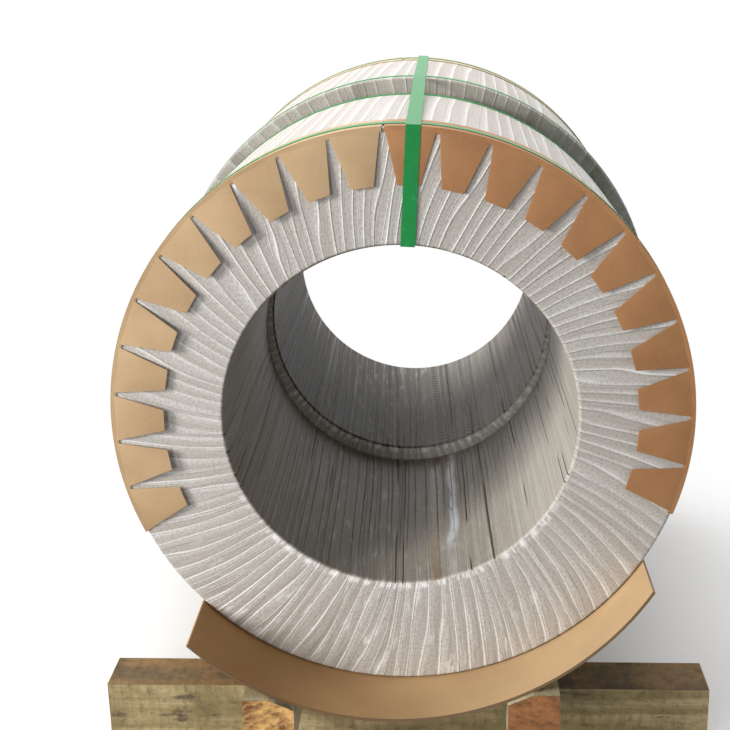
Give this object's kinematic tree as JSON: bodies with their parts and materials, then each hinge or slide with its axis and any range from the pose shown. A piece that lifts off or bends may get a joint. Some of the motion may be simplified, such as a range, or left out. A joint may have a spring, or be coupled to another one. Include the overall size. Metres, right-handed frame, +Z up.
{
  "type": "packed sheet metal coils on skid",
  "caption": "Tape-wrapped coils of aluminium sheet strapped end to end, eye horizontal, on a bevelled timber skid, with notched board rim protectors.",
  "frame": {"origin": "centre of the skid's underside, on the floor, midway along the pack", "axes": "+Y along the coils' axis from the front face to the rear one, +X to the right seen from the front, +Z up"},
  "size_m": [0.93, 1.264, 0.9801],
  "materials": {
    "strip": "mill",
    "wrap_tape": "semi-matt, creased",
    "comb_board": "matt kraft board",
    "pad_board": "matt kraft board",
    "strapping": "gloss",
    "timber": "rough sawn, weathered"
  },
  "bodies": {
    "root": {"front_coil": "strip", "rear_coil": "strip", "front_wrap": "wrap_tape", "rear_wrap": "wrap_tape", "front_comb_left": "comb_board", "front_comb_right": "comb_board", "rear_comb_left": "comb_board", "rear_comb_right": "comb_board", "front_ring_inner": "strapping", "rear_ring_inner": "strapping", "front_ring_outer": "strapping", "rear_ring_outer": "strapping", "eye_strap": "strapping", "front_pad": "pad_board", "rear_pad": "pad_board", "bearer_left": "timber", "bearer_right": "timber", "cross_timber_front": "timber", "cross_timber_rear": "timber"}
  },
  "joints": []
}
